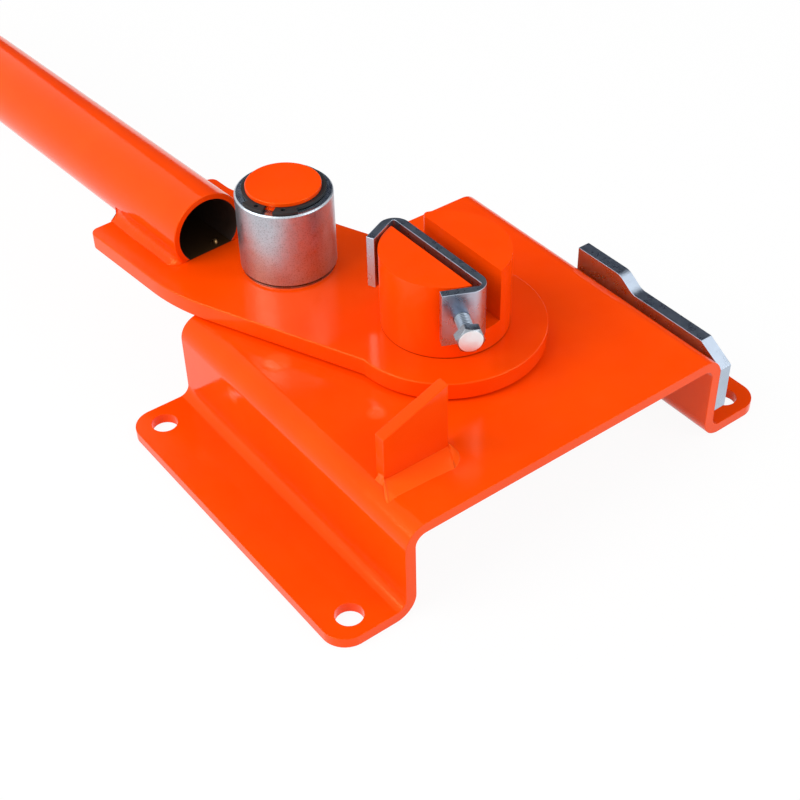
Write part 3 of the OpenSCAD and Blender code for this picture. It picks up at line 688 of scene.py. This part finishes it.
def finishes():
    """All materials of the bender by name, made once."""
    finish = bpy.context.scene.bender_finish
    made = {m.name: m for m in bpy.data.materials}
    if "Powder Coat" in made:
        return made
    painted("Powder Coat", finish, peel=0.0011)
    painted("Powder Coat on the Arm", finish, peel=0.0011, tube=True)
    painted("Powder Coat on the Base", finish, peel=0.0013, marked=True)
    rough_coat = {"peel": 0.0016, "speckle": 2.2, "strength": 0.16}
    painted("Powder Coat on Rough Steel", finish, **rough_coat)
    # the boss's coat carries the painted shade of the gap at its foot
    painted("Powder Coat on the Boss", finish, **rough_coat, foot=ARM_TOP)
    # the weld bead is real, and its paler coat is painted light
    painted("Powder Coat on the Tab Weld", finish, peel=0.002, speckle=0.8, strength=0.14,
            light=tuple(finish.weld_paint_lit))
    plated("Zinc on Sheet", finish.zinc, dull=0.28, grain_size=0.0008, line_size=0.0009)
    plated("Zinc on Turned Steel", finish.zinc_turned, dull=0.37, line_size=0.0004,
           line_share=0.3, strength=0.03, speck=0.5)
    plated("Zinc on Turned Ends", finish.zinc, dull=0.24, grain_size=0.0007)
    # painted shade on bolts, nuts and washers, and a painted highlight on the tops of bolt heads
    plated("Zinc on Bolts", finish.zinc_shade, dull=0.26)
    plated("Zinc on Head Discs", finish.zinc_lit_top, dull=0.2)
    # the threads carry painted shade in their grooves
    plated("Zinc on Threads", finish.zinc, dull=0.3, shaded_grooves=True)
    plain_rough("Black Spring Steel", finish.black_steel, light=(0.009, 0.009, 0.01),
                roughness=0.6, scale=420.0, strength=0.1)
    plain_rough("Sintered Bronze", finish.bronze, light=(0.55, 0.34, 0.15),
                roughness=0.38, scale=300.0, strength=0.12, metallic=1.0)
    plain_rough("Black Plastic", finish.plastic, light=(0.022, 0.022, 0.024),
                roughness=0.42, scale=500.0, strength=0.12)
    plain_rough("Bare Steel Inside", finish.bare_steel, light=(0.018, 0.008, 0.004),
                roughness=0.6, scale=120.0, strength=0.2)
    return {m.name: m for m in bpy.data.materials}


def on_top(x, y):
    """A point on the base's top face, from millimetres."""
    return (x * MM, y * MM, BASE_TOP)


HEAD_TURN = math.radians(20)  # of the clamp bolt, as in the photo
DROP_PLACE = (5.25 * MM, 6.4 * MM)  # along and across the handle, from its mouth
DROP_SIZE = (1.8 * MM, 2.2 * MM)  # radius and height
BEAD_WAVE = 9 * MM  # length over which the beads' toes wander
HEAT_MARKS = (  # middle and radius
    (*on_top(-79.6, 38.3), 9 * MM),
    (*on_top(-62.9, -24.7), 6 * MM),
    (-LEG_X, 0.0487, 0.0374, 6 * MM),
)


# Operators

def show_thread(name, part, body, point, axis, radius, sizes):
    """Shows a bolt's thread. Each point keeps how deep it lies below the crests, 0 on the crest and
    1 in the root, (radius - distance from the bolt's axis) / depth, as the attribute that paints
    shade into the grooves."""
    piece = mesh_object(name, *part)
    away = off_axis(read_all(piece.data.vertices, "co", 3), point, np.asarray(axis, float))
    shade = np.clip((radius - away) / (THREAD_DEPTH * sizes.m8_pitch), 0, 1).astype(np.float32)
    piece.data.attributes.new("groove", "FLOAT", "POINT").data.foreach_set("value", shade)
    finish_piece(piece, body, "Zinc on Threads")


def show_heads(name, part, body, axis, node):
    """Shows bolt heads in place of a CAD node, with bright discs on their tops as a painted
    highlight, over sides of darker zinc that is painted shade.
    """
    piece = mesh_object(name, *part)
    finish_piece(piece, body,
                 ["Zinc on Bolts", "Zinc on Head Discs"], (node,))
    face_material(piece, axis, least=0.99)
    round_edges(piece, 0.15 * MM, segments=2, angle=24)


class BENDER_OT_base(bpy.types.Operator):
    """Paints the base sheet and its stop tab, with rounded edges"""

    bl_idname = "bender.base"
    bl_label = "Base and Stop Tab"

    def execute(self, context):
        sizes = context.scene.bender_sizes
        rounded_copy("base_plate", "base_sheet", "base",
                     "Powder Coat on the Base", sizes.paint_edge)
        rounded_copy("arm_stop_tab", "stop_tab", "base",
                     "Powder Coat", 0.75 * sizes.paint_edge)
        return {"FINISHED"}


class BENDER_OT_boss(bpy.types.Operator):
    """Paints the slotted boss and threads its stud"""

    bl_idname = "bender.boss"
    bl_label = "Centre Boss"

    def execute(self, context):
        sizes = context.scene.bender_sizes
        stud_end = corners("centre_boss")[0][2]
        sheet_under = corners("boss_washer")[1][2]
        boss = copy_of_node("centre_boss", "boss")
        # the smooth boss ends at the seam, and the stud runs up inside it, covered
        seam, covered = sheet_under + 0.2 * MM, 1 * MM
        bm = bmesh.new()
        bm.from_mesh(boss.data)
        cut = bmesh.ops.bisect_plane(
            bm, geom=bm.verts[:] + bm.edges[:] + bm.faces[:], plane_co=(0, 0, seam),
            plane_no=(0, 0, 1), clear_inner=True)
        rim = [e for e in cut["geom_cut"] if isinstance(e, bmesh.types.BMEdge)]
        bmesh.ops.holes_fill(bm, edges=rim)
        bmesh.ops.recalc_face_normals(bm, faces=bm.faces)
        bm.to_mesh(boss.data)
        bm.free()
        finish_piece(boss, "base", "Powder Coat on the Boss",
                     ("centre_boss",))
        round_edges(boss, 0.6 * sizes.paint_edge)
        stud = node_points("centre_boss")
        low = stud[stud[:, 2] < sheet_under - covered]
        radius = np.linalg.norm(low[:, :2] - PIVOT[:2], axis=1).max()
        grid = thread_grid(radius, THREAD_DEPTH * sizes.stud_pitch, sizes.stud_pitch,
                           sheet_under - stud_end + covered, tip=2 * MM, cols=72, steps=14)
        start = [PIVOT[0], PIVOT[1], sheet_under + covered]
        piece = mesh_object("boss_stud", *capped_tube(placed(grid, start, (0, 0, -1))))
        finish_piece(piece, "base", "Powder Coat")
        return {"FINISHED"}


class BENDER_OT_stop_plate(bpy.types.Operator):
    """Plates the stop plate and threads its bolts"""

    bl_idname = "bender.stop_plate"
    bl_label = "Stop Plate and Bolts"

    def execute(self, context):
        sizes = context.scene.bender_sizes
        rounded_copy("stop_plate", "zinc_stop", "base",
                     "Zinc on Sheet", sizes.zinc_edge)
        points = node_points("stop_plate_bolts")
        heads, out = [], (1, 0, 0)
        head_x = points[:, 0].max()
        # a point that far from the bolt's axis is on the head, one that far below it on the rod
        outside, below = 5 * MM, 3 * MM
        middle = (points[:, 1].min() + points[:, 1].max()) / 2
        for front in (True, False):
            own = points[(points[:, 1] < middle) == front]
            centre = (own.min(0) + own.max(0)) / 2
            spread = np.linalg.norm((own - centre)[:, 1:], axis=1)
            under = own[spread > outside][:, 0].min()
            flats = np.ptp(own[:, 2])
            radius = spread[own[:, 0] < under - below].max()
            place = [under, centre[1], centre[2]]
            thread, head = bolt_parts(
                place, out, under - own[:, 0].min(), radius, flats, head_x - under,
                sizes.m8_pitch, turn=0.0 if front else 0.35)
            heads.append(head)
            show_thread(f"stop_bolt_thread_{1 if front else 2}", thread, "base", place, out,
                        radius, sizes)
        show_heads("stop_bolt_heads", joined(heads), "base", out, "stop_plate_bolts")
        # these take the darker bolt zinc, which is painted shade
        for node in ("stop_plate_washers", "stop_plate_nuts", "boss_washer", "boss_nut",
                     "thrust_washer"):
            dress_node(node, "Zinc on Bolts")
        return {"FINISHED"}


class BENDER_OT_clamp(bpy.types.Operator):
    """Plates the clamp strip and makes its threaded bolt"""

    bl_idname = "bender.clamp"
    bl_label = "Clamp Strip and Bolt"

    def execute(self, context):
        sizes = context.scene.bender_sizes
        rounded_copy("clamp_bracket", "clamp_strip", "clip",
                     "Zinc on Sheet", sizes.zinc_edge)
        points = node_points("clamp_bolt")
        along = (points - SCREW_POINT) @ SCREW_AXIS
        across = off_axis(points, SCREW_POINT, SCREW_AXIS)
        rod_end, margin = 5 * MM, 1 * MM
        radius = across[along < along.min() + rod_end].max()
        under = along[across > radius + margin].min()
        flats = 2 * across.max() * math.cos(math.radians(30))
        head_under = SCREW_POINT + under * SCREW_AXIS
        thread, head = bolt_parts(head_under, SCREW_AXIS, under - along.min(), radius, flats,
                                  along.max() - under, sizes.m8_pitch, turn=HEAD_TURN)
        show_heads("clamp_screw_head", head, "screw", SCREW_AXIS, "clamp_bolt")
        show_thread("clamp_screw_thread", thread, "screw", head_under, SCREW_AXIS, radius, sizes)
        return {"FINISHED"}


def line_bore(mesh):
    """Gives the second material to every face all of whose corners lie on the bore, or
    on the plate that the tube stands on."""
    points = read_all(mesh.vertices, "co", 3)
    away = off_axis(points, TUBE_START, TUBE_AXIS)
    corner = read_all(mesh.loops, "vertex_index", kind=np.int32)
    first = read_all(mesh.polygons, "loop_start", kind=np.int32)
    farthest = np.maximum.reduceat(away[corner], first)
    lift = np.maximum.reduceat(np.abs(points[corner, 2] - ARM_TOP), first)
    slack, level = 0.2 * MM, 0.4 * MM
    inside = (farthest < TUBE_BORE_R + slack) | (lift < level)
    mesh.polygons.foreach_set("material_index", inside.astype(np.int32))


def drop_grid():
    """Rings of the small drop of weld on the plate just inside the mouth: half an egg,
    r * sin(a) wide and h * cos(a) high at the angle a from its top."""
    lumpy, sunk = 0.18, 0.1 * MM
    a = np.linspace(0.04, 1, 9)[:, None] * np.pi / 2
    b = np.linspace(0, 2 * np.pi, 20, endpoint=False)[None, :]
    foot = TUBE_START + DROP_PLACE[0] * TUBE_AXIS + DROP_PLACE[1] * TUBE_SIDE
    foot[2] = ARM_TOP - sunk
    wide, high = DROP_SIZE[0] * np.sin(a), DROP_SIZE[1] * np.cos(a)
    lump = 1 + lumpy * np.sin(3 * b + 0.7) * np.sin(a)
    return (foot + (wide * lump * np.cos(b))[:, :, None] * TUBE_SIDE
            + (wide * lump * np.sin(b))[:, :, None] * TUBE_AXIS
            + (high + 0 * b)[:, :, None] * UP)


class BENDER_OT_arm(bpy.types.Operator):
    """Paints the arm plate, the handle tube and its plug"""

    bl_idname = "bender.arm"
    bl_label = "Arm and Handle"

    def execute(self, context):
        sizes = context.scene.bender_sizes
        rounded_copy("arm_plate", "arm_sheet", "arm",
                     "Powder Coat on the Arm", sizes.paint_edge)
        pipe = copy_of_node("handle_tube", "handle_pipe")
        finish_piece(pipe, "arm", ["Powder Coat", "Bare Steel Inside"],
                     ("handle_tube",))
        line_bore(pipe.data)
        round_edges(pipe, 0.7 * sizes.paint_edge)
        rounded_copy("handle_end_plug", "handle_cap", "arm",
                     "Black Plastic", 0.6 * MM)
        dress_node("pivot_bush", "Sintered Bronze")
        drop = mesh_object("bore_drop", *capped_tube(drop_grid()))
        finish_piece(drop, "arm", "Sintered Bronze")
        return {"FINISHED"}


class BENDER_OT_roller(bpy.types.Operator):
    """Plates the roller and finishes its pin, washer and spring ring"""

    bl_idname = "bender.roller"
    bl_label = "Roller, Pin and Ring"

    def execute(self, context):
        zinc = ["Zinc on Turned Steel", "Zinc on Turned Ends"]
        sleeve = rounded_copy("roller", "roller_sleeve", "roller", zinc,
                              0.25 * MM, segments=2)
        face_material(sleeve, UP, least=0.9)
        rounded_copy("roller_pin", "roller_stem", "arm",
                     "Powder Coat", 0.2 * MM, segments=2)
        rounded_copy("roller_circlip", "spring_ring", "arm",
                     "Black Spring Steel", 0.22 * MM, segments=2)
        # the washer takes the darker bolt zinc, which is painted shade
        dress_node("roller_washer", "Zinc on Bolts")
        dress_node("roller_pin_weld", "Powder Coat on Rough Steel")
        return {"FINISHED"}


def ripple_wave(x):
    """One hump for each unit of x, |sin(pi x)| less about its mean."""
    return np.abs(np.sin(np.pi * x)) - 0.6


def handle_bead(side, sizes):
    """Rings of one bead. u runs along the tube and v from the toe on the plate, 0, to
    the toe on the tube, 1. The corner where tube and plate meet is the root, and both toes
    stand off from it by their leg times full, which rises from 0 at the mouth's end as
    the quarter of a circle. A point is plate toe + v * (tube toe - plate toe), sunk by
    hollow * length from toe to toe * 4 v (1 - v), and raised by a faint ripple that bends
    with v."""
    points = node_points("handle_weld") - TUBE_START
    reach = points @ TUBE_AXIS
    wide = np.abs(points @ TUBE_SIDE).max()
    low, high = points[:, 2].min(), points[:, 2].max()
    taper, least, margin, sunk, hollow, bow = 7 * MM, 0.02, 0.4 * MM, 0.1 * MM, 0.24, 1.1 * MM
    t = np.linspace(0, 1, 170)[:, None]
    u = reach.min() + (reach.max() - reach.min()) * t ** 1.6  # rings are closest at the mouth
    v = np.linspace(0, 1, 15)[None, :]
    edge = (u - reach.min()) / taper
    full = least + (1 - least) * np.sqrt(1 - (1 - np.clip(edge, 0, 1)) ** 2)
    wander = 0.3 * MM * smooth_noise(u / BEAD_WAVE + 3 * side, 5 + side) * full
    root = math.sqrt(TUBE_R ** 2 - low ** 2)
    toe_x = root + (wide - root - margin) * full + wander
    toe_z = low + (high - low) * full + 0.5 * wander
    tube_x = np.sqrt(np.clip(TUBE_R ** 2 - toe_z ** 2, 0, None)) - sunk
    x = toe_x + (tube_x - toe_x) * v
    z = low + (toe_z - low) * v
    length = np.hypot(toe_x - tube_x, toe_z - low)
    nx, nz = (toe_z - low) / length, (toe_x - tube_x) / length
    bend = (u - bow * (2 * v - 1) ** 2) / sizes.ripple_pitch
    ripple = sizes.ripple_height * full * ripple_wave(bend) * 4 * v * (1 - v)
    lift = ripple - hollow * length * 4 * v * (1 - v)
    x, z = x + lift * nx, z + lift * nz
    middle = (TUBE_R + TUBE_BORE_R) / 2
    back_z = np.concatenate([toe_z, 0 * u + low], 1)
    back = np.stack([np.sqrt(middle ** 2 - back_z ** 2), back_z], -1)
    ring = np.concatenate([np.stack([x, z], -1), back], 1)
    return (TUBE_START + u[:, :, None] * TUBE_AXIS + side * ring[:, :, :1] * TUBE_SIDE
            + ring[:, :, 1:] * UP)


class BENDER_OT_handle_welds(bpy.types.Operator):
    """Lays the two rippled beads that hold the handle tube"""

    bl_idname = "bender.handle_welds"
    bl_label = "Handle Welds"

    def execute(self, context):
        sizes = context.scene.bender_sizes
        parts = [capped_tube(handle_bead(side, sizes)) for side in (1, -1)]
        piece = mesh_object("handle_beads", *joined(parts))
        finish_piece(piece, "arm", "Powder Coat on Rough Steel",
                     ("handle_weld",))
        return {"FINISHED"}


def tab_bead(sizes):
    """Rings of the bead along a U-shaped path: right end, front, left end. s is the
    length along the path, n the outward direction there, which turns by a quarter at each
    corner, and v runs from the base, 0, up to the tab, 1. The point is path + n * wide *
    (1 - v) + up * tall * v, sunk by hollow * length from toe to toe * 4 v (1 - v). In front
    the bead is broad and flat and leans to the left by half its reach, and its left end
    swells into a lump. Past the start of the base's bend it falls by
    bend radius - sqrt(radius^2 - distance^2)."""
    weld = corners("stop_tab_weld")
    right, left, front = TAB_HIGH[0], TAB_LOW[0], TAB_LOW[1]
    back = weld[1][1]
    size = TAB_LOW[1] - weld[0][1]
    runs = [((right, back), (right, front), 0.0, 0.0, 16),
            ((right, front), (right, front), 0.0, -90.0, 14),
            ((right, front), (left, front), -90.0, -90.0, 90),
            ((left, front), (left, front), -90.0, -180.0, 14),
            ((left, front), (left, back), 180.0, 180.0, 16)]
    path, turn = [], []
    for start, end, a0, a1, count in runs:
        t = np.linspace(0, 1, count)[:, None]
        path.append(np.array(start) * (1 - t) + np.array(end) * t)
        turn.append(np.radians(a0 + (a1 - a0) * t[:, 0]))
    path, turn = np.concatenate(path), np.concatenate(turn)
    step = np.linalg.norm(np.diff(path, axis=0), axis=1)
    least_step, inset, sunk, bow = 0.35 * MM, 0.8 * MM, 0.1 * MM, 0.8 * MM
    lump_long, lump_tall, first_lump, last_lump = 5 * MM, 1.5 * MM, 6 * MM, 7 * MM
    # shares of the CAD weld's leg, and of the length from toe to toe for the sag
    side_wide, side_tall, front_wide, front_tall, narrowing = 0.5, 0.6, 2.7, 0.3, 0.5
    lean, sag, coarse = 0.5, 0.13, 2.2
    s = np.concatenate([[0], np.cumsum(np.maximum(step, least_step))])[:, None]
    n = np.stack([np.cos(turn), np.sin(turn)], -1)
    v = np.linspace(0, 1, 13)[None, :]
    near = (np.exp(-((s - first_lump) / lump_long) ** 2)
            + np.exp(-((s[-1] - last_lump - s) / lump_long) ** 2))
    ahead = np.clip(-n[:, 1:], 0, 1) ** 7
    along = s / s[-1]
    wander = 0.06 * smooth_noise(s / BEAD_WAVE, 3)
    wide = (size * (side_wide + wander) * (1 - ahead)
            + size * (front_wide - narrowing * along + wander) * ahead)
    tall = (size * ((side_tall + wander) * (1 - ahead) + front_tall * ahead)
            + lump_tall * near * along)
    out, up = wide * (1 - v), tall * v
    hump = 4 * v * (1 - v)
    length = np.hypot(wide, tall)
    bend = (s - bow * (2 * v - 1) ** 2) / (1.2 * sizes.ripple_pitch)
    ripple = sizes.ripple_height * coarse * near * ripple_wave(bend)
    hollow = sag - sag * near - sag * ahead
    lift = (ripple - hollow * np.minimum(length, 1.5 * tall)) * hump
    out, up = out + lift * tall / length, up + lift * wide / length
    inner = np.full_like(s, -inset)
    out = np.concatenate([out, inner, inner], 1)
    up = np.concatenate([up, tall, 0 * s], 1)
    rows = path[:, None, :] + n[:, None, :] * out[:, :, None]
    rows[:, :, 0] -= lean * ahead * np.clip(out, 0, None)
    past = np.clip(-rows[:, :, 0] - (LEG_X - BEND_R), 0, 0.9 * BEND_R)
    fall = BEND_R - np.sqrt(BEND_R ** 2 - past ** 2)
    return np.concatenate([rows, BASE_TOP - sunk + (up - fall)[:, :, None]], -1)


class BENDER_OT_tab_weld(bpy.types.Operator):
    """Lays the bead round the stop tab's foot"""

    bl_idname = "bender.tab_weld"
    bl_label = "Stop Tab Weld"

    def execute(self, context):
        sizes = context.scene.bender_sizes
        piece = mesh_object("tab_bead", *capped_tube(tab_bead(sizes)))
        # the bead's shape is a real weld, and its paler coat is painted light
        finish_piece(piece, "base", "Powder Coat on the Tab Weld",
                     ("stop_tab_weld",))
        return {"FINISHED"}


def set_camera(scene, stage):
    """Looks along (-sin a cos p, cos a cos p, -sin p), with right and up rolled by r."""
    a, p, r = stage.camera_turn
    ahead = Vector((-math.sin(a) * math.cos(p), math.cos(a) * math.cos(p), -math.sin(p)))
    right = Vector((math.cos(a), math.sin(a), 0))
    up = right.cross(ahead)
    right, up = math.cos(r) * right + math.sin(r) * up, -math.sin(r) * right + math.cos(r) * up
    data = bpy.data.cameras.new("Camera")
    data.sensor_width = 36
    data.lens = stage.lens
    data.shift_x, data.shift_y = stage.shift
    data.clip_start, data.clip_end = 0.01, 50
    camera = bpy.data.objects.new("Camera", data)
    turn = Matrix((right, up, -ahead)).transposed().to_4x4()
    camera.matrix_world = Matrix.Translation(Vector(stage.camera_place)) @ turn
    scene.collection.objects.link(camera)
    scene.camera = camera


def lay_floor():
    """A wide pale floor. To the camera it is mostly plain white, and the rest keeps the
    object's shadow."""
    half, low, white_share = 6.0, -0.6 * MM, 0.94
    signs = ((-1, -1), (1, -1), (1, 1), (-1, 1))
    points = np.array([[x * half, y * half, low] for x, y in signs])
    floor = mesh_object("floor", points, [0, 1, 2, 3], [4])
    material = bpy.data.materials.new("White Floor")
    sheet = empty_sheet(material)
    diffuse = sheet.add("ShaderNodeBsdfDiffuse", Color=(0.9, 0.9, 0.9, 1))
    white = sheet.add("ShaderNodeEmission", Color=(1, 1, 1, 1), Strength=1.0)
    share = sheet.math("MULTIPLY", seen_straight(sheet), white_share)
    mix = sheet.add("ShaderNodeMixShader", share, diffuse.outputs[0], white.outputs[0])
    sheet.add("ShaderNodeOutputMaterial", Surface=mix.outputs[0])
    floor.data.materials.append(material)


def hang_card(stage):
    """A dark card behind the bender that only gloss sees, so that level faces mirror it
    and tilted ones mirror the white round it. It bends round the bender at a fixed distance,
    from 4 to 70 degrees round from +X, and from 0.1 m up to 3.8 m."""
    count, away, low, high, start, end = 15, 2.6, 0.1, 3.8, 4, 70
    turn = np.radians(np.linspace(start, end, count))
    ring = np.stack([np.cos(turn), np.sin(turn)], -1) * away
    points = np.concatenate([np.c_[ring, np.full(count, z)] for z in (low, high)])
    k = np.arange(count - 1)
    faces = np.stack([k, k + 1, k + count + 1, k + count], -1)
    card = mesh_object("dark_card", points, faces.ravel(), np.full(count - 1, 4))
    material = bpy.data.materials.new("Dark Card")
    sheet = empty_sheet(material)
    glow = sheet.add("ShaderNodeEmission", Color=rgba(stage.dark_side), Strength=1.0)
    sheet.add("ShaderNodeOutputMaterial", Surface=glow.outputs[0])
    card.data.materials.append(material)
    for ray in ("camera", "diffuse", "shadow", "transmission"):
        setattr(card, "visible_" + ray, False)


def light_world(scene, stage):
    """White of strength 1 to the camera and to gloss, and the even light to the rest."""
    world = bpy.data.worlds.new("Studio")
    scene.world = world
    sheet = empty_sheet(world)
    strength = sheet.span(seen_straight(sheet), 0.0, 1.0, to_low=stage.ambient, to_high=1.0)
    glow = sheet.add("ShaderNodeBackground", Color=(1, 1, 1, 1), Strength=strength)
    sheet.add("ShaderNodeOutputWorld", Surface=glow.outputs[0])


def hang_lamp(scene, name, power, size, place):
    """A square area lamp that faces the middle of the bender."""
    middle, place = Vector((0, 0.02, 0.05)), Vector(place)
    data = bpy.data.lights.new(name, "AREA")
    data.energy = power
    data.size = size
    lamp = bpy.data.objects.new(name, data)
    turn = (middle - place).to_track_quat("-Z", "Y").to_matrix().to_4x4()
    lamp.matrix_world = Matrix.Translation(place) @ turn
    scene.collection.objects.link(lamp)


class BENDER_OT_stage(bpy.types.Operator):
    """Sets the camera, the floor, the lamps and the dark card behind the bender"""

    bl_idname = "bender.stage"
    bl_label = "Studio"

    def execute(self, context):
        scene, stage = context.scene, context.scene.bender_stage
        set_camera(scene, stage)
        lay_floor()
        hang_card(stage)
        light_world(scene, stage)
        hang_lamp(scene, "Key", stage.key_power, size=1.5, place=(-1.5, 0.35, 1.45))
        hang_lamp(scene, "Fill", stage.fill_power, size=1.2, place=(0.9, -1.5, 1.3))
        scene.view_settings.view_transform = "Standard"
        return {"FINISHED"}


class BENDER_PT_panel(bpy.types.Panel):
    """Sizes, colours and steps of the bender's looks"""

    bl_label = "Bar Bender"
    bl_idname = "BENDER_PT_panel"
    bl_space_type = "VIEW_3D"
    bl_region_type = "UI"
    bl_category = "Bender"

    def draw(self, context):
        layout = self.layout
        for step in STEPS:
            layout.operator(step.bl_idname)
        scene = context.scene
        for group in (scene.bender_sizes, scene.bender_finish, scene.bender_stage):
            box = layout.box()
            for key in group.__annotations__:
                box.prop(group, key)


STEPS = (BENDER_OT_stage, BENDER_OT_base, BENDER_OT_boss, BENDER_OT_stop_plate, BENDER_OT_clamp,
         BENDER_OT_arm, BENDER_OT_roller, BENDER_OT_handle_welds, BENDER_OT_tab_weld)
CLASSES = (BenderFinish, BenderSizes, BenderStage, *STEPS, BENDER_PT_panel)


def register():
    """Registers the classes and hangs the settings on the scene."""
    for cls in CLASSES:
        bpy.utils.register_class(cls)
    bpy.types.Scene.bender_finish = PointerProperty(type=BenderFinish)
    bpy.types.Scene.bender_sizes = PointerProperty(type=BenderSizes)
    bpy.types.Scene.bender_stage = PointerProperty(type=BenderStage)


def unregister():
    """Takes the settings and the classes away."""
    del bpy.types.Scene.bender_stage
    del bpy.types.Scene.bender_sizes
    del bpy.types.Scene.bender_finish
    for cls in reversed(CLASSES):
        bpy.utils.unregister_class(cls)


def main():
    """Runs every step."""
    register()
    for step in STEPS:
        area, name = step.bl_idname.split(".")
        result = getattr(getattr(bpy.ops, area), name)()
        if result != {"FINISHED"}:
            raise RuntimeError(f"{step.bl_label} did not finish")


if __name__ == "__main__":
    main()
